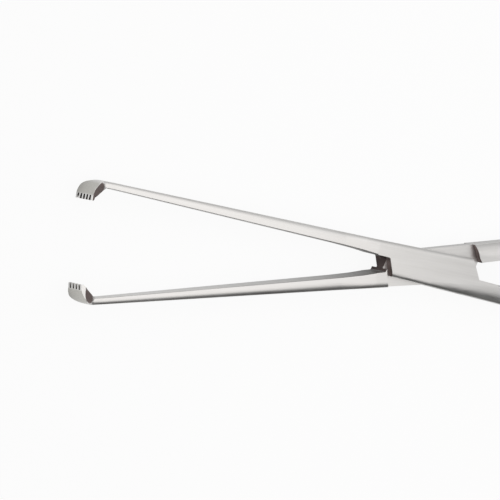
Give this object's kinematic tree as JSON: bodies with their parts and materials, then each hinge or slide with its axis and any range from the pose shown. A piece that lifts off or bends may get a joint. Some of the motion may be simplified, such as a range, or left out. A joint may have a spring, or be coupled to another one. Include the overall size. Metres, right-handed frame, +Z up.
{
  "type": "toothed tissue forceps",
  "caption": "Locking tissue forceps with toothed T-shaped jaws, long slender shanks, a box lock, a ratchet and finger rings.",
  "frame": {"origin": "on the pivot axis at the lock's underside", "axes": "+X from the pivot to the finger rings, +Z up the pivot axis, +Y towards the jaw of the box half"},
  "size_m": [0.1885, 0.0924, 0.0058],
  "materials": {
    "steel": "satin"
  },
  "bodies": {
    "box_side": {"box_half": "steel", "pivot_pin": "steel"},
    "tang_side": {"tang_half": "steel"}
  },
  "joints": [
    {"name": "pivot", "type": "hinge", "parent": "box_side", "child": "tang_side", "pos_m": [0, 0, 0.0025], "axis": [0, 0, 1], "range_deg": [-12.5, 45]}
  ]
}
